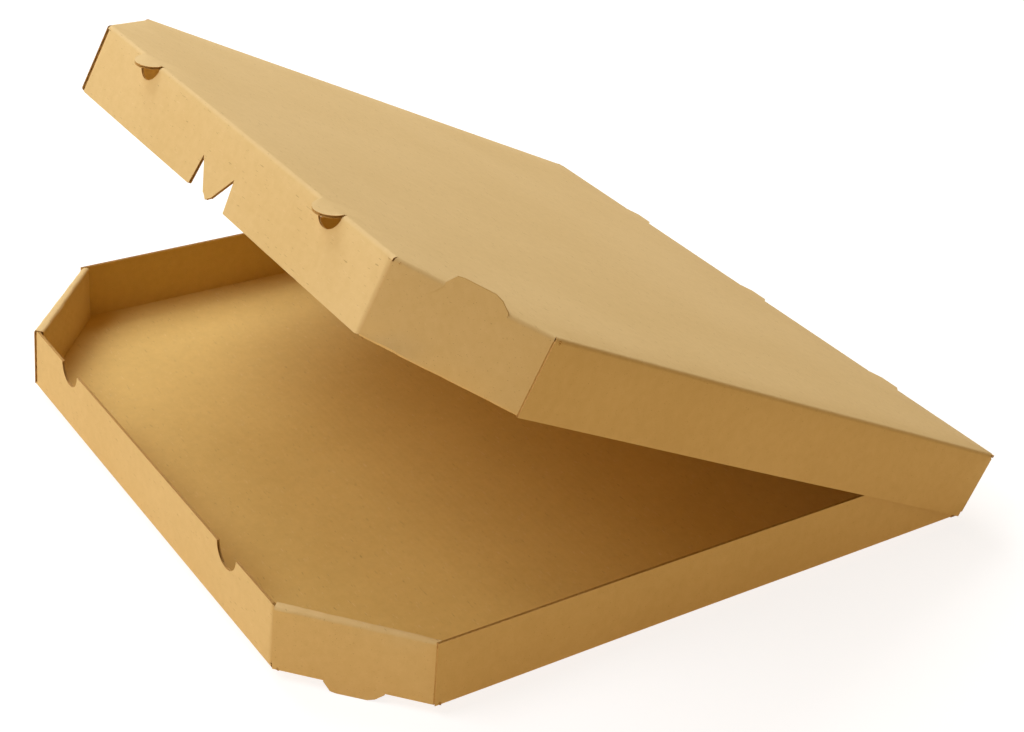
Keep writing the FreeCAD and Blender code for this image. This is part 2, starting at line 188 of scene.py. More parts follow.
def add_panel(sheet, points, across):
    """One panel of board. across is the direction across its flutes."""
    corners = [sheet.verts.new(point) for point in points]
    outline = [sheet.edges.new(pair) for pair in zip(corners, corners[1:] + corners[:1])]
    face = bmesh.ops.contextual_create(sheet, geom=outline)["faces"][0]
    face[sheet.faces.layers.float_vector["across_flutes"]] = across
    return face


X_AXIS, Y_AXIS, Z_AXIS = Vector((1, 0, 0)), Vector((0, 1, 0)), Vector((0, 0, 1))
VENT_RADIUS, VENT_SPREAD = 8.0, 151.0
TONGUE_ROOT, TONGUE_TIP, TONGUE_HEIGHT, NOTCH_FLARE = 26.0, 8.0, 14.0, 1.5
TONGUE_ROUND, FOOT_ROUND = 2.7, 1.5
FLAP_ROOT, FLAP_TIP, FLAP_REACH, FLAP_PITCH = 21.0, 10.0, 3.7, 94.0
EAR_LENGTH, EAR_DROP, EAR_SLOPE = 35.0, 2.5, 4.0
CREASE_BACK = 1.8
FOLD_PLAY = 0.15
FLAP_FOOT = MIDDLE + FOLD_RADIUS + FOLD_PLAY
print("tuck flaps start", FLAP_FOOT, "mm above the main panel's face")

# %% [markdown]
# ## Panels of a half
# The floor of the tray and the top of the lid have the same outline at their sides and at
# the cut corners: straight folds, and at each corner the slot that the standing tab left.
# Front and rear differ, so each half brings its own points for these.

# %% The main panel and the side walls
# Distances of a corner's panels from the ends of the slanting fold.
CORNER_FIRST, CORNER_LAST, RIM_LAST = 1.45, 2.85, 1.5
# Relief cuts are a little longer than a fold's rounding, and as narrow as a knife.
KNIFE, RELIEF_SLANT = 0.1, 0.9
RELIEF = FOLD_RADIUS + 0.05
TAB_ROOT, TAB_TIP, TAB_REACH, LOCK_PLAY = 24.0, 15.0, 4.0, 0.5
TAB_OUTLINE = [(-11.9, -0.2), (-9.2, 3.5), (-6.6, 3.95), (5.3, 3.85), (8.4, 2.7), (11.9, -0.2)]
SLOT_WIDTH, SLOT_REACH = 21.0, 1.6
FRONT_LAP = 1.2


def main_panel(sheet, size, rear_points, side_rear, front_points, tab=True):
    """Floor or top. At the end of every fold a short relief cut goes inwards."""
    middle = size.slant / 2
    fold_rear = side_rear + RELIEF
    points = rear_points
    points += [size.side(-fold_rear, MIDDLE) - X_AXIS * RELIEF, size.side(-fold_rear, MIDDLE)]
    points.append(size.side_end(MIDDLE))
    first, last = CORNER_FIRST, size.slant - CORNER_LAST
    spots = [(last, RELIEF - MIDDLE), (last, -MIDDLE)]
    if tab:
        spots.append((middle + TAB_ROOT / 2, -MIDDLE))
        spots += [(middle + x, SLOT_REACH) for x in (SLOT_WIDTH / 2, -SLOT_WIDTH / 2)]
        spots.append((middle - TAB_ROOT / 2, -MIDDLE))
    spots += [(first, -MIDDLE), (first + RELIEF_SLANT, RELIEF - MIDDLE)]
    points += [size.corner(u, v, MIDDLE) for u, v in spots]
    points += [size.front_end(MIDDLE) + X_AXIS * FRONT_LAP] + front_points
    return add_panel(sheet, points, Y_AXIS)


def side_wall(sheet, size, side_rear):
    """Side wall and the ear that folds in from its rear end."""
    ear_top = size.wall - EAR_DROP
    ear_end = size.half - EAR_LENGTH
    fold_rear = side_rear + RELIEF
    wall = [size.side_end(MIDDLE), size.side_end(size.wall), size.side(-fold_rear, size.wall),
            size.side(-fold_rear, ear_top), size.side(-side_rear, ear_top),
            size.side(-side_rear, FLAP_FOOT), size.side(-fold_rear, FLAP_FOOT),
            size.side(-fold_rear, MIDDLE)]
    add_panel(sheet, wall, Y_AXIS)
    ear = [size.side(-side_rear, FLAP_FOOT), size.side(-side_rear, ear_top),
           Vector((ear_end, -side_rear, ear_top - EAR_SLOPE)),
           Vector((ear_end, -side_rear, FLAP_FOOT))]
    add_panel(sheet, ear, X_AXIS)


print("relief cuts", RELIEF, "mm, tab", TAB_ROOT, "mm wide at its fold")

# %% [markdown]
# ## Cut corners
# This is the cleverest place of the box. The corner's outer panel stands up from a slanting
# fold, covers the tuck flap that comes from the front wall, rolls over its top and runs down
# again inside, where its tongue locks in the slot. The roll is thicker at the front, where
# the tuck flap lies in it, so the rim tapers. The tab is the piece of floor that stayed on
# the outer panel when the slot was cut, so it stands past the fold.


# %% Corner walls
TUCK_LENGTH, TUCK_START, TUCK_DROP = 28.0, 2.0, 1.0
TONGUE_FOOT, TONGUE_TAPER, INNER_SHORT = 0.2, 1.0, 0.6


def corner_wall(sheet, size, roll, lean_in, tab=True):
    """Outer panel with its tab, rim, inner panel with its tongue, and the tuck flap."""
    top = size.wall - MIDDLE
    middle = size.slant / 2
    first, last = CORNER_FIRST, size.slant - CORNER_LAST
    turn_sin, turn_cos = math.sin(size.turn), math.cos(size.turn)
    along = Vector((turn_cos, turn_sin, 0))
    inwards = Vector((-turn_sin, turn_cos, 0))

    def inner(u):
        return roll[0] + (roll[1] - roll[0]) * u / size.slant - MIDDLE

    bottom = [(first, MIDDLE), (last, MIDDLE)]
    if tab:
        left, right = middle - TAB_ROOT / 2, middle + TAB_ROOT / 2
        outline = [(middle + x, -reach) for x, reach in TAB_OUTLINE]
        bottom[1:1] = [(left, MIDDLE), (left, MIDDLE + RELIEF)] + outline + [
            (right, MIDDLE + RELIEF), (right, MIDDLE)]
    bottom = [size.corner(u, -MIDDLE, z) for u, z in bottom]
    outer_top = [size.corner(first, -MIDDLE, top), size.corner(last, -MIDDLE, top)]
    rim_last = size.slant - RIM_LAST
    inner_top = [size.corner(first, inner(first), top),
                 size.corner(rim_last, inner(rim_last), top)]
    add_panel(sheet, bottom + outer_top[::-1], Z_AXIS * turn_cos - along * turn_sin)
    add_panel(sheet, outer_top + inner_top[::-1], inwards * turn_cos - along * turn_sin)

    foot = BOARD + TONGUE_FOOT
    lock = TAB_TIP / 2 - LOCK_PLAY
    inner_foot = [(rim_last - INNER_SHORT, foot), (first, foot)]
    if tab:
        inner_foot[1:1] = [(middle + lock, foot), (middle + lock - TONGUE_TAPER, TONGUE_FOOT),
                           (middle - lock + TONGUE_TAPER, TONGUE_FOOT), (middle - lock, foot)]
    inner_foot = [size.corner(u, inner(u) + lean_in, z) for u, z in inner_foot]
    add_panel(sheet, inner_top + inner_foot, Z_AXIS * turn_cos + along * turn_sin)

    flap = [size.front_end(FLAP_FOOT), size.front_end(size.wall),
            size.corner(TUCK_START, MIDDLE, size.wall - TUCK_DROP),
            size.corner(TUCK_LENGTH, MIDDLE, size.wall - 2 * EAR_DROP),
            size.corner(TUCK_LENGTH, MIDDLE, 2 * FLAP_FOOT)]
    add_panel(sheet, flap, Z_AXIS)


def new_sheet(draw_half):
    """Draws one half, turns it over to the other side, and draws the second half."""
    sheet = bmesh.new()
    sheet.faces.layers.float_vector.new("across_flutes")
    draw_half(sheet, "left")
    bmesh.ops.scale(sheet, vec=(-1, 1, 1), verts=sheet.verts[:])
    draw_half(sheet, "right")
    return sheet


print("the lid's rims taper from", ROLL_THICK, "to", ROLL_THIN, "mm inside the outer panel")

# %% [markdown]
# ## The tray
# Its front wall has two half-round notches in the top edge, below the vents of the lid.

# %% Tray panels
VENT_X = VENT_SPREAD / 2
CREASE_GAP = 0.3
TRAY_EAR = 2 * BOARD + CREASE_GAP + MIDDLE
TRAY_EDGE = 0.4
# The tray's rims look rolled more loosely than the lid's, but only inwards.
TRAY_ROLL = (3.5, 2.0)


def wall_end(size):
    """End of the front wall from its free edge down to the main panel, with the flap's fold."""
    spots = [(size.wall, 0), (FLAP_FOOT, 0), (FLAP_FOOT, -RELIEF), (FLAP_FOOT - KNIFE, -RELIEF),
             (FLAP_FOOT - KNIFE, FRONT_LAP), (MIDDLE, FRONT_LAP)]
    return [size.front_end(z) + X_AXIS * lap for z, lap in spots]


def tray_half(sheet, side):
    size = tray_size
    edge = size.half - TRAY_EDGE
    rear = [Vector((0, -CREASE_BACK, MIDDLE)), Vector((edge, -CREASE_BACK, MIDDLE)),
            Vector((edge, KNIFE - TRAY_EAR - RELIEF, MIDDLE))]
    main_panel(sheet, size, rear, TRAY_EAR, [size.front(0, MIDDLE)])
    side_wall(sheet, size, TRAY_EAR)
    corner_wall(sheet, size, TRAY_ROLL, lean_in=1.0)
    front = [size.front(0, MIDDLE), size.front(0, size.wall)]
    front += arc((VENT_X, size.wall), VENT_RADIUS, 180, 360, 16, size.front)
    add_panel(sheet, front + wall_end(size), Z_AXIS)


tray_sheet = new_sheet(tray_half)
print("tray panels:", len(tray_sheet.faces))

# %% [markdown]
# ## The lid
# The half-discs cut from its front vents stay on the top and stand forward, like small
# visors. Behind, three cuts leave short flaps that stand out past the rear wall. The closing
# tongue hangs between two notches in the front wall's edge. The near corner's lock stands
# out as a tab. The photograph shows no tab at the far one, so that one lies flat.

# %% Lid panels
LID_EAR = BOARD + MIDDLE
REAR_VENT_DROP = FLAP_REACH + MIDDLE
REAR_END = lid_size.half - 2.6
LID_EDGE, VISOR_PLAY = 0.3, 0.3
VISOR_DROOP = math.radians(24)


def rear_cuts(place, drop, relief):
    """Outline along the rear fold, from the middle to the right, where the flaps are cut."""
    points = [place(0, drop), place(FLAP_TIP / 2, drop)]
    points += [place(FLAP_ROOT / 2, -relief), place(FLAP_ROOT / 2, 0)]
    left, right = FLAP_PITCH - FLAP_ROOT / 2, FLAP_PITCH + FLAP_ROOT / 2
    points += [place(left, 0), place(left, -relief), place(FLAP_PITCH - FLAP_TIP / 2, drop),
               place(FLAP_PITCH + FLAP_TIP / 2, drop), place(right, -relief), place(right, 0)]
    points.append(place(REAR_END, 0))
    return [point for number, point in enumerate(points) if point != points[number - 1]]


def visor():
    """Half-disc that the vent's cut left on the top."""
    root = [lid_size.front(VENT_X + side * VENT_RADIUS, MIDDLE) for side in (1, -1)]
    disc = arc((VENT_X, root[0].y), VENT_RADIUS - VISOR_PLAY, 0, -180, 16,
               lambda x, y: Vector((x, y, MIDDLE)))
    return [root[0], root[0] + Y_AXIS * RELIEF] + disc + [root[1] + Y_AXIS * RELIEF, root[1]]


def lid_half_panels(sheet, side):
    size = lid_size
    stands = side == "left"
    rear = rear_cuts(lambda x, out: Vector((x, out - MIDDLE, MIDDLE)), REAR_VENT_DROP, RELIEF)
    edge, rear_end = size.half - LID_EDGE, -MIDDLE - RELIEF
    rear += [Vector((REAR_END, rear_end, MIDDLE)), Vector((edge, rear_end, MIDDLE)),
             Vector((edge, KNIFE - LID_EAR - RELIEF, MIDDLE))]
    main_panel(sheet, size, rear, LID_EAR, visor() + [size.front(0, MIDDLE)], tab=stands)
    side_wall(sheet, size, LID_EAR)
    corner_wall(sheet, size, (ROLL_THICK, ROLL_THIN), lean_in=0.1, tab=stands)

    rear = rear_cuts(lambda x, down: Vector((x, -MIDDLE, MIDDLE + down)), REAR_VENT_DROP, 0)
    rear += [Vector((x, -MIDDLE, size.wall - CREASE_BACK)) for x in (REAR_END, 0)]
    add_panel(sheet, rear, Z_AXIS)

    front = arc((VENT_X, MIDDLE), VENT_RADIUS, 0, 180, 16, size.front)
    front += [size.front(0, MIDDLE), size.front(0, size.wall)]
    tip = size.front(TONGUE_TIP / 2, size.wall)
    notch_top = size.front(TONGUE_ROOT / 2, size.wall - TONGUE_HEIGHT)
    notch_foot = size.front(TONGUE_ROOT / 2 + NOTCH_FLARE, size.wall)
    front += rounded_corner(front[-1], tip, notch_top, TONGUE_ROUND)
    front.append(notch_top)
    front += rounded_corner(notch_top, notch_foot, size.front_end(size.wall), FOOT_ROUND)
    add_panel(sheet, front + wall_end(size), Z_AXIS)


lid_sheet = new_sheet(lid_half_panels)
print("lid panels:", len(lid_sheet.faces))

# %% [markdown]
# ## Slicing, and the uneven rims
# Board is never quite flat, and a rim rolled by hand is uneven. A flat face with few corners
# can't bend, so the sheets are sliced into cells with bisect_plane, which keeps them whole.
# Subdividing suits faces with four corners, and these panels have many.


# %% Slicing and rims
CELL = 18.0
SWAY, SWAY_LENGTH = 0.22, 120.0
RIM_FACE_AREA = 400
RIM_ROUND = 0.78
RIM_STEP, RIM_WAVE, RIM_LENGTH = 3.0, 0.36, 8.0


def slice_sheet(sheet, axis, start, end, step):
    count = int((end - start) / step)
    for number in range(1, count):
        place = axis * (start + (end - start) * number / count)
        bmesh.ops.bisect_plane(sheet, geom=sheet.verts[:] + sheet.edges[:] + sheet.faces[:],
                               dist=1e-4, plane_co=place, plane_no=axis)


def wave_rims(sheet, size, seed):
    """Cuts the rolled rims into short pieces and makes them a little uneven."""
    for side in (-1, 1):
        along = Vector((side * math.cos(size.turn), math.sin(size.turn), 0))
        faces = [face for face in sheet.faces
                 if face.calc_center_median().z > size.wall - BOARD
                 and face.calc_center_median().y < -size.reach + size.along
                 and face.calc_center_median().x * side > size.half - size.across - 1
                 and abs(face.normal.dot(along)) < 0.3 and face.calc_area() < RIM_FACE_AREA]
        start = Vector((side * (size.half - size.across), -size.reach, 0))
        for step in range(1, int(size.slant / RIM_STEP)):
            geometry = {part for face in faces if face.is_valid
                        for part in (face, *face.edges, *face.verts)}
            cut = bmesh.ops.bisect_plane(sheet, geom=list(geometry), dist=1e-4,
                                         plane_co=start + along * step * RIM_STEP,
                                         plane_no=along)
            faces += [part for part in cut["geom"] if isinstance(part, bmesh.types.BMFace)]
            faces = list({face for face in faces if face.is_valid})
        rim = {vert for face in faces for vert in face.verts if vert.co.z > size.wall - BOARD}
        for vert in rim:
            wave = noise.noise_vector(vert.co / RIM_LENGTH + Vector((0, 0, seed)))
            vert.co += Vector((wave.x, wave.y, min(0, wave.z))) * RIM_WAVE
    print("rim faces:", len(faces))


# %% [markdown]
# ## Folding
# On the real box a crease is pressed in and the board is bent over it, which leaves a soft
# round. Here the panels are merged at their shared points, and the bevel operator rounds the
# shared edges. The rims have their own radius. A slow noise then bends the whole sheet a
# little.


# %% From panels to a sheet
FOLD_ANGLE = math.radians(20)


def fold_sheet(sheet, size, seed, fold_radius):
    """Merges the panels, rounds the folds and bends the sheet a little."""
    across = sheet.faces.layers.float_vector["across_flutes"]
    bmesh.ops.remove_doubles(sheet, verts=sheet.verts[:], dist=1e-3)
    for face in sheet.faces:
        if face.calc_center_median().x < 0:
            face[across] = Vector((-face[across].x, face[across].y, face[across].z))
    bmesh.ops.recalc_face_normals(sheet, faces=sheet.faces[:])
    floor = max(sheet.faces, key=lambda face: face.calc_area())
    if floor.normal.z > 0:
        bmesh.ops.reverse_faces(sheet, faces=sheet.faces[:])
    sheet.normal_update()
    folds = [edge for edge in sheet.edges if len(edge.link_faces) == 2
             and edge.calc_face_angle() > FOLD_ANGLE]
    rims = [edge for edge in folds
            if min(vert.co.z for vert in edge.verts) > size.wall - BOARD
            and abs((edge.verts[0].co - edge.verts[1].co).z) < 1e-3]
    creases = [edge for edge in folds if edge not in rims]
    for edges, radius in ((rims, RIM_ROUND), (creases, fold_radius)):
        edges = [edge for edge in edges if edge.is_valid]
        bmesh.ops.bevel(sheet, geom=edges, offset=radius, offset_type="OFFSET", segments=4,
                        profile=0.5, affect="EDGES", clamp_overlap=False, material=-1)
    wave_rims(sheet, size, seed)
    slice_sheet(sheet, X_AXIS, -size.half, size.half, CELL)
    slice_sheet(sheet, Y_AXIS, -size.reach, 0, CELL)
    slice_sheet(sheet, Z_AXIS, 0, size.wall, CELL / 2)
    for vert in sheet.verts:
        quiet = min(1, max(0, (vert.co.z + 1) / 2))
        sway = noise.noise_vector(vert.co / SWAY_LENGTH + Vector((seed, 0, 0))) * SWAY
        vert.co += Vector((sway.x, sway.y, sway.z * quiet))
    sheet.normal_update()
    print("folds:", len(creases), "rims:", len(rims), "cells:", len(sheet.faces))


fold_sheet(tray_sheet, tray_size, 3.0, TIGHT_FOLD)
fold_sheet(lid_sheet, lid_size, 11.0, FOLD_RADIUS)

# %% [markdown]
# ## The visors
# The discs before the vents droop from where they hang on the top. Bending them while they
# were drawn would twist the big panel's face, so the folded sheet is cut across at the root
# of the discs, and only their points are turned.


# %% Bend the visors
def droop_visors(sheet):
    """Bends the half-discs before the vents below the level of the top."""
    root = lid_size.front(0, MIDDLE)
    for x in (-VENT_X, VENT_X):
        near = [face for face in sheet.faces if abs(face.calc_center_median().x - x) < 2 * CELL
                and face.calc_center_median().z < MIDDLE + 0.4]
        geometry = {part for face in near for part in (face, *face.edges, *face.verts)}
        bmesh.ops.bisect_plane(sheet, geom=list(geometry), dist=1e-4, plane_co=root,
                               plane_no=Y_AXIS)
        disc = [vert for vert in sheet.verts if abs(vert.co.x - x) < VENT_RADIUS
                and vert.co.y < root.y - 0.01 and vert.co.z < MIDDLE + 0.4]
        bmesh.ops.rotate(sheet, verts=disc, cent=root,
                         matrix=Matrix.Rotation(-VISOR_DROOP, 3, X_AXIS))
        print("visor at", x, "bends", len(disc), "points")


droop_visors(lid_sheet)

# %% [markdown]
# ## Liners
# A liner is the folded sheet pushed out along its normals, with a paper's thickness from the
# solidify operator. At the cuts it is pushed out less, because the knife pressed the papers
# together there.


# %% Making the liners
def push_out(sheet, distance):
    """Moves the sheet along its normals, less at cut edges, where the knife crushed the board."""
    sheet.normal_update()
    crushed = {vert for edge in sheet.edges if edge.is_boundary
               and edge.calc_length() > LONGEST_RELIEF for vert in edge.verts}
    moves = [(vert, vert.normal * distance * vert.calc_shell_factor()
              * (EDGE_CRUSH if vert in crushed else 1)) for vert in sheet.verts]
    for vert, move in moves:
        vert.co += move


def paper_layer(sheet, level_from_middle, thickness):
    """A closed thin paper at a distance from the board's middle plane."""
    paper = sheet.copy()
    push_out(paper, level_from_middle + thickness / 2)
    first_side = set(paper.verts)
    bmesh.ops.solidify(paper, geom=paper.faces[:], thickness=thickness)
    for face in paper.faces:
        shared = sum(vert in first_side for vert in face.verts)
        face.material_index = int(0 < shared < len(face.verts))
    bmesh.ops.recalc_face_normals(paper, faces=paper.faces[:])
    return paper


# %% [markdown]
# ## Medium
# The wavy paper's height depends only on the place across the flutes, so it is one and the
# same wave at every cut, at whatever angle the knife crossed it. A cut along the flutes shows
# the wall of one flute.


# %% Making the medium
def flute_wall(medium, start, end, inwards, normal):
    """A cut along the flutes shows the wall of one flute, as a plain strip."""
    half_height = (FLUTE_HEIGHT + MEDIUM / 2) * normal
    centre = (start + end) / 2 + inwards * (BAND_RECESS + MEDIUM / 2)
    place = Matrix(((end - start) / 2, half_height, inwards)).transposed().to_4x4()
    place.translation = centre
    bmesh.ops.create_grid(medium, x_segments=1, y_segments=1, size=1.0, matrix=place)


def medium_bands(sheet):
    """Wavy paper between the liners, as a band behind every cut edge."""
    across_layer = sheet.faces.layers.float_vector["across_flutes"]
    medium = bmesh.new()
    for edge in sheet.edges:
        if not edge.is_boundary or edge.calc_length() < 0.05:
            continue
        loop = edge.link_loops[0]
        normal, across = loop.face.normal, loop.face[across_layer]
        start, end = loop.vert.co, loop.link_loop_next.vert.co
        along = (end - start).normalized()
        inwards = normal.cross(along)
        length, step = (end - start).length, FLUTE_PITCH / FLUTE_STEPS
        if abs(along.dot(across)) < 0.3:
            flute_wall(medium, start, end, inwards, normal)
            continue
        columns = max(1, math.ceil(length * abs(along.dot(across)) / step))
        rows = max(1, math.ceil(BAND_DEPTH * abs(inwards.dot(across)) / step))
        centre = (start + end) / 2 + inwards * (BAND_DEPTH / 2 + BAND_RECESS)
        place = Matrix((along * length / 2, inwards * BAND_DEPTH / 2, normal)).transposed().to_4x4()
        place.translation = centre
        band = bmesh.ops.create_grid(medium, x_segments=columns, y_segments=rows, size=1.0,
                                     matrix=place)["verts"]
        for vert in band:
            phase = 2 * math.pi * vert.co.dot(across) / FLUTE_PITCH
            vert.co += normal * FLUTE_HEIGHT * math.sin(phase)
    bmesh.ops.solidify(medium, geom=medium.faces[:], thickness=MEDIUM)
    bmesh.ops.recalc_face_normals(medium, faces=medium.faces[:])
    return medium


# %% [markdown]
# ## From a bmesh to an object
# The object stays at the origin and its place is in its mesh, as with the CAD nodes. The
# direction across the flutes turns along, because the material reads it.


# %% Finished pieces
def finished_piece(name, shape, to_row):
    """Turns a shape in millimetres into an object of the row frame, in metres."""
    across = shape.faces.layers.float_vector.get("across_flutes")
    if across is not None:
        turn = to_row.to_3x3().normalized()
        for face in shape.faces:
            face[across] = turn @ face[across]
    bmesh.ops.transform(shape, matrix=to_row, verts=shape.verts[:])
    mesh = bpy.data.meshes.new(name)
    shape.to_mesh(mesh)
    shape.free()
    mesh.shade_smooth()
    mesh.set_sharp_from_angle(angle=math.radians(40))
    piece = bpy.data.objects.new(name, mesh)
    bpy.context.scene.collection.objects.link(piece)
    print(name, len(mesh.polygons), "faces")
    return piece


# %% [markdown]
# ## From the folding frame to the row frame
# The tray only moves back to its hinge. The lid was folded upside down, so it is turned over,
# lifted to the height of its wall and opened about the hinge, as the frame's joint says.

# %% Place the layers
to_metres = Matrix.Scale(MM, 4)
tray_to_row = to_metres @ Matrix.Translation((0, HINGE_Y, 0))
lid_to_row = (tray_to_row @ Matrix.Rotation(LID_OPEN, 4, -X_AXIS)
              @ Matrix.Translation((0, 0, LID_WALL)) @ Matrix.Rotation(math.pi, 4, "Y"))

halves = (("tray", tray_sheet, tray_to_row, "base_tray"), ("lid", lid_sheet, lid_to_row, "lid"))
outer_pieces, inner_pieces, medium_pieces = [], [], []
for body, sheet, to_row, node in halves:
    outer = finished_piece(body + "_outer_liner", paper_layer(sheet, MIDDLE - LINER, LINER), to_row)
    inner = finished_piece(body + "_inner_liner", paper_layer(sheet, -MIDDLE, LINER), to_row)
    medium = finished_piece(body + "_fluting", medium_bands(sheet), to_row)
    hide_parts(node)
    for piece in (outer, inner, medium):
        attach(piece, body)
    outer_pieces.append(outer)
    inner_pieces.append(inner)
    medium_pieces.append(medium)

# %% [markdown]
# ## The crease at the hinge
# Tray and lid are one sheet, which bends here. The strip is a line spun about the middle of
# the bend.

# %% Rear crease
fold_left = math.pi / 2 - LID_OPEN
crease_start = Vector((0, HINGE_Y - CREASE_BACK, MIDDLE))
wall_foot = lid_to_row @ Vector((0, -MIDDLE, LID_WALL - CREASE_BACK)) / MM
crease_radius = (wall_foot.y - crease_start.y) / math.sin(fold_left)
crease_width = tray_size.half - BOARD
crease = bmesh.new()
line = [crease.verts.new(crease_start + X_AXIS * x) for x in (-crease_width, crease_width)]
crease_line = crease.edges.new(line)
bmesh.ops.spin(crease, geom=line + [crease_line], cent=crease_start + Z_AXIS * crease_radius,
               axis=X_AXIS, angle=fold_left, steps=8, use_merge=False)
bmesh.ops.remove_doubles(crease, verts=crease.verts[:], dist=1e-4)
bmesh.ops.recalc_face_normals(crease, faces=crease.faces[:])
push_out(crease, MIDDLE)
bmesh.ops.solidify(crease, geom=crease.faces[:], thickness=BOARD)
bmesh.ops.recalc_face_normals(crease, faces=crease.faces[:])
rear_crease = finished_piece("rear_crease", crease, to_metres)
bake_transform(rear_crease)
outer_pieces.append(rear_crease)
print("crease radius", round(crease_radius, 2), "mm")

# %% [markdown]
# ## Colours and nodes
# Colours are written as sRGB hex values, as a colour picker shows them, and turned to linear
# light by one function. Another small function adds any node with its settings and links.


# %% Colour and node helpers
def linear(hex_colour):
    channels = [int(hex_colour[i:i + 2], 16) / 255 for i in (1, 3, 5)]
    return [c / 12.92 if c <= 0.04045 else ((c + 0.055) / 1.055) ** 2.4 for c in channels] + [1.0]


def add_node(tree, kind, inputs=(), **settings):
    """Adds a node. Each input is a socket's name or number with a value or another socket."""
    node = tree.nodes.new(kind)
    for name, value in settings.items():
        setattr(node, name, value)
    for socket, value in dict(inputs).items():
        if isinstance(value, bpy.types.NodeSocket):
            tree.links.new(value, node.inputs[socket])
        else:
            node.inputs[socket].default_value = value
    return node


def new_material(name):
    material = bpy.data.materials.new(name)
    material.use_nodes = True
    material.node_tree.nodes.clear()
    return material, material.node_tree


# %% [markdown]
# ## Kraft liner
# Unbleached kraft paper, calendered on its outer face: warm brown, nearly matt, cloudy where
# the pulp lies thicker, with short pale and dark fibres. The clouds, fibres and flutes are
# separate patterns, each with its scale from a real length, mixed into one colour and bump.
# The liner inside the box is a little darker and warmer: partly its own paper, partly painted
# shade, which makes the shade inside the box deeper and more saturated. The same function
# makes both.

# %% Kraft liner material
FIBRE_PALE, FIBRE_DARK = "#EED3A2", "#8F6A35"
METRE = 1000.0
# Slow changes of tone across the paper, and the grain of its pulp, in millimetres, drawn
# coarser than the real grain so that it shows.
CLOUD_SIZE, GRAIN_SIZE = 70.0, 4.0
# Fibres of about 2 by 0.25 mm lie in several directions, drawn a little coarse to show.
FIBRE_LENGTH, FIBRE_WIDTH, FIBRE_STRENGTH = 2.2, 0.28, 0.4
FIBRES = [((0.3, 0.2, 0.5), FIBRE_PALE, 0.715), ((-0.4, 0.5, -0.9), FIBRE_DARK, 0.725),
          ((0.6, -0.3, 1.7), FIBRE_PALE, 0.725), ((0.1, 0.7, 2.5), FIBRE_DARK, 0.735)]


def kraft_paper(name, colour, deep_colour):
    """Kraft liner with clouds, pulp, fibres and the faint print of the flutes."""
    material, tree = new_material(name)
    place = add_node(tree, "ShaderNodeTexCoord").outputs["Object"]
    clouds = add_node(tree, "ShaderNodeTexNoise", {"Vector": place, "Scale": METRE / CLOUD_SIZE,
                                                   "Detail": 3.0})
    pulp = add_node(tree, "ShaderNodeTexNoise", {"Vector": place, "Scale": METRE / GRAIN_SIZE,
                                                 "Detail": 4.0, "Roughness": 0.6})
    tone = add_node(tree, "ShaderNodeMath", {0: clouds.outputs["Fac"], 1: pulp.outputs["Fac"]},
                    operation="ADD")
    tone = add_node(tree, "ShaderNodeMapRange", {"Value": tone.outputs[0], "From Min": 0.75,
                                                 "From Max": 1.25})
    mixed = add_node(tree, "ShaderNodeMix", {"Factor": tone.outputs[0], 6: linear(deep_colour),
                                             7: linear(colour)}, data_type="RGBA").outputs[2]
    for number, (turn, fibre_colour, rare) in enumerate(FIBRES):
        laid = add_node(tree, "ShaderNodeMapping",
                        {"Vector": place, "Location": (number * 0.37, 0, 0), "Rotation": turn,
                         "Scale": (METRE / FIBRE_LENGTH, METRE / FIBRE_WIDTH,
                                   METRE / FIBRE_WIDTH)})
        strands = add_node(tree, "ShaderNodeTexNoise", {"Vector": laid.outputs[0],
                                                        "Scale": 0.5, "Detail": 1.0})
        shown = add_node(tree, "ShaderNodeMapRange", {"Value": strands.outputs["Fac"],
                                                      "From Min": rare, "From Max": rare + 0.05,
                                                      "To Max": FIBRE_STRENGTH})
        mixed = add_node(tree, "ShaderNodeMix", {"Factor": shown.outputs[0], 6: mixed,
                                                 7: linear(fibre_colour)},
                         data_type="RGBA").outputs[2]
    ridges = flute_print(tree, place)
    pulp_bump = add_node(tree, "ShaderNodeBump", {"Height": pulp.outputs["Fac"],
                                                  "Strength": 1.0, "Distance": 0.1 * MM,
                                                  "Normal": ridges})
    rough = add_node(tree, "ShaderNodeMapRange", {"Value": pulp.outputs["Fac"], "To Min": 0.62,
                                                  "To Max": 0.82})
    paper = add_node(tree, "ShaderNodeBsdfPrincipled",
                     {"Base Color": mixed, "Roughness": rough.outputs[0], "IOR": 1.45,
                      "Specular IOR Level": 0.3, "Normal": pulp_bump.outputs[0]})
    add_node(tree, "ShaderNodeOutputMaterial", {"Surface": paper.outputs[0]})
    return material


def flute_print(tree, place):
    """Faint ridges, under 0.01 mm high, where the flutes press through the liner."""
    across = add_node(tree, "ShaderNodeAttribute", attribute_name="across_flutes")
    place_across = add_node(tree, "ShaderNodeVectorMath", {0: place,
                                                           1: across.outputs["Vector"]},
                            operation="DOT_PRODUCT")
    phase = add_node(tree, "ShaderNodeMath", {0: place_across.outputs["Value"],
                                              1: 2 * math.pi * METRE / FLUTE_PITCH},
                     operation="MULTIPLY")
    ridges = add_node(tree, "ShaderNodeMath", {0: phase.outputs[0]}, operation="SINE")
    return add_node(tree, "ShaderNodeBump", {"Height": ridges.outputs[0], "Strength": 1.0,
                                             "Distance": 0.008 * MM}).outputs[0]


kraft_outside = kraft_paper("kraft_liner_outside", "#E5C990", "#DFC287")
# Painted shade: the inside colour is darker and warmer than the outside one, partly for the shade
# inside the box.
kraft_inside_and_painted_shade = kraft_paper("kraft_liner_inside_and_painted_shade", "#DFBD71", "#D7B569")
for piece in outer_pieces:
    piece.data.materials.append(kraft_outside)
for piece in inner_pieces:
    piece.data.materials.append(kraft_inside_and_painted_shade)
print("kraft liner on", len(outer_pieces) + len(inner_pieces), "pieces")

# %% [markdown]
# ## Fluting paper
# The medium is recycled paper, darker and rougher than the liners, and it is seen only at
# the cuts. The cut faces of the liners take it too, as their second material.

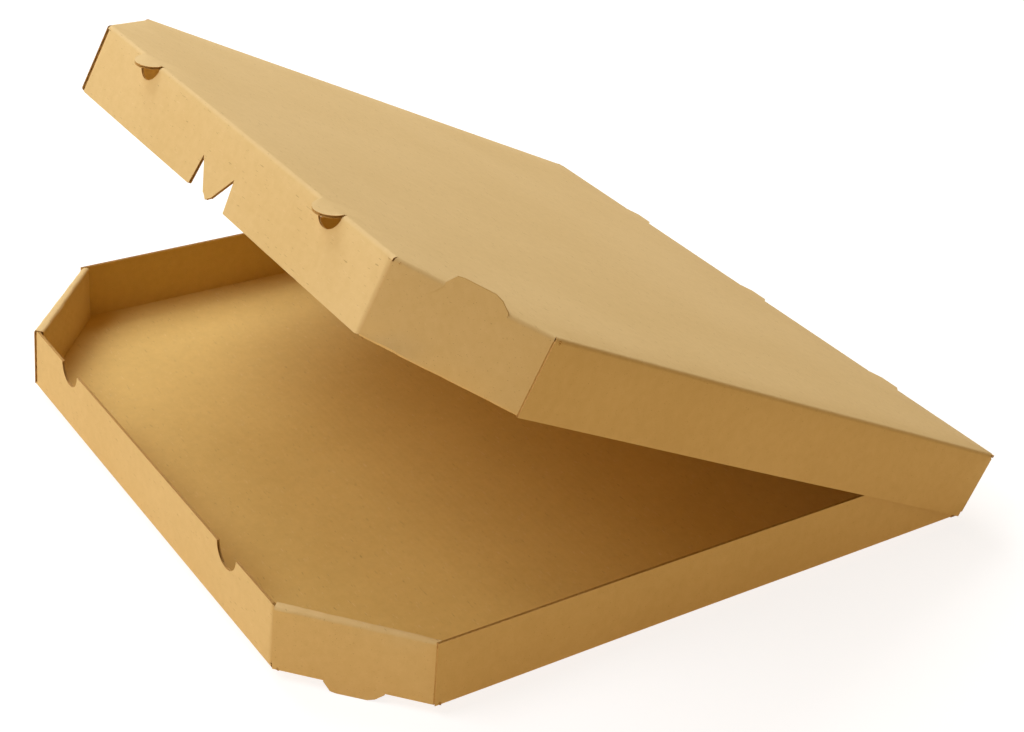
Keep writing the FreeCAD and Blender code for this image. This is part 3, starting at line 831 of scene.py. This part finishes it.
# %% Fluting material
fluting, tree = new_material("recycled_fluting_paper")
RECYCLED_GRAIN = 1.5
place = add_node(tree, "ShaderNodeTexCoord").outputs["Object"]
pulp = add_node(tree, "ShaderNodeTexNoise", {"Vector": place, "Scale": METRE / RECYCLED_GRAIN,
                                             "Detail": 3.0})
colour = add_node(tree, "ShaderNodeMix", {"Factor": pulp.outputs["Fac"], 6: linear("#AE854C"),
                                          7: linear("#D2A869")}, data_type="RGBA").outputs[2]
paper = add_node(tree, "ShaderNodeBsdfPrincipled", {"Base Color": colour, "Roughness": 0.9,
                                                    "Specular IOR Level": 0.2})
add_node(tree, "ShaderNodeOutputMaterial", {"Surface": paper.outputs[0]})
for piece in medium_pieces + outer_pieces + inner_pieces:
    piece.data.materials.append(fluting)

# %% [markdown]
# ## Floor and background
# The box stands on a white studio floor. To the camera the floor is nearly as bright as the
# white world behind it, yet it keeps the shadow, because part of its light is still diffuse.
# To the box it is a warmer floor, whose glow lights the side walls from below.


# %% Floor
def seen_directly(tree):
    """1 for a ray from the camera or by way of gloss or glass, else 0."""
    path = add_node(tree, "ShaderNodeLightPath")
    seen = path.outputs["Is Camera Ray"]
    for kind in ("Is Glossy Ray", "Is Transmission Ray"):
        seen = add_node(tree, "ShaderNodeMath", {0: seen, 1: path.outputs[kind]},
                        operation="MAXIMUM").outputs[0]
    return seen


FLOOR_SIZE = 12.0
FLOOR_GLOW = 0.23
# Far from the box, in metres, the floor is as white as the world, so no horizon shows.
GLOW_NEAR, GLOW_FAR = 0.5, 2.5
WHITE_NEAR, WHITE_FAR = 0.82, 1.0
floor_shape = bmesh.new()
bmesh.ops.create_grid(floor_shape, x_segments=1, y_segments=1, size=FLOOR_SIZE / 2)
bmesh.ops.translate(floor_shape, verts=floor_shape.verts[:], vec=(0, 0, -TAB_REACH * MM))
floor_mesh = bpy.data.meshes.new("studio_floor")
floor_shape.to_mesh(floor_mesh)
floor_shape.free()
studio_floor = bpy.data.objects.new("studio_floor", floor_mesh)
bpy.context.scene.collection.objects.link(studio_floor)

white_floor, tree = new_material("white_studio_floor")
seen = seen_directly(tree)
matt = add_node(tree, "ShaderNodeBsdfDiffuse", {"Color": linear("#F4E2BE")})
lit = add_node(tree, "ShaderNodeEmission", {"Color": linear("#FFDFA8"), "Strength": FLOOR_GLOW})
matt = add_node(tree, "ShaderNodeAddShader", {0: matt.outputs[0], 1: lit.outputs[0]})
shaded = add_node(tree, "ShaderNodeBsdfDiffuse", {"Color": linear("#A0A0A0")})
place = add_node(tree, "ShaderNodeTexCoord").outputs["Object"]
distance = add_node(tree, "ShaderNodeVectorMath", {0: place}, operation="LENGTH")
strength = add_node(tree, "ShaderNodeMapRange", {"Value": distance.outputs["Value"],
                                                 "From Min": GLOW_NEAR, "From Max": GLOW_FAR,
                                                 "To Min": WHITE_NEAR, "To Max": WHITE_FAR})
glow = add_node(tree, "ShaderNodeEmission", {"Color": (1, 1, 1, 1),
                                             "Strength": strength.outputs[0]})
to_camera = add_node(tree, "ShaderNodeAddShader", {0: shaded.outputs[0], 1: glow.outputs[0]})
either = add_node(tree, "ShaderNodeMixShader", {0: seen, 1: matt.outputs[0],
                                                2: to_camera.outputs[0]})
add_node(tree, "ShaderNodeOutputMaterial", {"Surface": either.outputs[0]})
floor_mesh.materials.append(white_floor)
print("floor", FLOOR_SIZE, "m wide, at", -TAB_REACH, "mm")

# %% [markdown]
# ## World
# The background is white to the camera. To the box it is a dim warm light, like the light
# that comes back from a studio's walls, which keeps the shaded sides as warm as they are in
# the photograph.

# %% World
world = bpy.data.worlds.new("studio")
bpy.context.scene.world = world
world.use_nodes = True
tree = world.node_tree
tree.nodes.clear()
seen = seen_directly(tree)
FILL_COLOUR, FILL_STRENGTH = "#FFCB70", 0.25
fill = add_node(tree, "ShaderNodeBackground", {"Color": linear(FILL_COLOUR),
                                               "Strength": FILL_STRENGTH})
white = add_node(tree, "ShaderNodeBackground", {"Color": (1, 1, 1, 1), "Strength": 1.0})
either = add_node(tree, "ShaderNodeMixShader", {0: seen, 1: fill.outputs[0],
                                                2: white.outputs[0]})
add_node(tree, "ShaderNodeOutputWorld", {"Surface": either.outputs[0]})

# %% [markdown]
# ## Light
# Three soft boxes: the key at the front left and high, a second high at the left for the
# panels, and a weak low one for the front walls. Their size keeps the shadows soft, and the
# pale floor throws warm light back up on the side walls.


# %% Lamps
def soft_box(name, place, target, width, height, power, colour="#FFFFFF"):
    data = bpy.data.lights.new(name, "AREA")
    data.shape = "RECTANGLE"
    data.size, data.size_y, data.energy = width, height, power
    data.color = linear(colour)[:3]
    lamp = bpy.data.objects.new(name, data)
    lamp.location = place
    lamp.rotation_euler = (Vector(target) - Vector(place)).to_track_quat("-Z", "Y").to_euler()
    bpy.context.scene.collection.objects.link(lamp)
    return lamp


soft_box("key_soft_box", (-0.46, -1.35, 1.85), (0, 0, 0.06), 1.2, 1.2, 21.5, "#F1F6FF")
soft_box("left_soft_box", (-1.3, 0.1, 1.5), (0, 0, 0.06), 1.2, 1.2, 23, "#F6FAFF")
soft_box("low_soft_box", (-0.75, -1.6, 0.75), (0, 0, 0.06), 1.2, 0.9, 3.6)

# %% [markdown]
# ## Camera
# The camera stands where the photograph was taken from: to the right of the front and above,
# about 0.9 m away, turned a little about its own axis. These values were solved from the
# corners of the box in the picture.

# %% Camera
IMAGE_WIDTH = 1024
AZIMUTH, ELEVATION, ROLL = math.radians(53.977), math.radians(30.027), math.radians(4.903)
CAMERA_PLACE = Vector((623.1, -426.4, 468.5)) * MM
FOCAL_PIXELS = 1957.7
back = Vector((math.sin(AZIMUTH) * math.cos(ELEVATION),
               -math.cos(AZIMUTH) * math.cos(ELEVATION), math.sin(ELEVATION)))
right = (-back).cross(Z_AXIS).normalized()
up = right.cross(-back)
turned_right = right * math.cos(ROLL) + up * math.sin(ROLL)
turned_up = up * math.cos(ROLL) - right * math.sin(ROLL)
camera_data = bpy.data.cameras.new("camera")
camera_data.sensor_width = 36.0
camera_data.lens = FOCAL_PIXELS / IMAGE_WIDTH * camera_data.sensor_width
camera = bpy.data.objects.new("camera", camera_data)
pose = Matrix((turned_right, turned_up, back)).transposed().to_4x4()
pose.translation = CAMERA_PLACE
camera.matrix_world = pose
print("camera at", [round(part, 3) for part in CAMERA_PLACE], "m, lens",
      round(camera_data.lens, 1), "mm")
bpy.context.scene.collection.objects.link(camera)
bpy.context.scene.camera = camera
bpy.context.scene.view_settings.view_transform = "Standard"
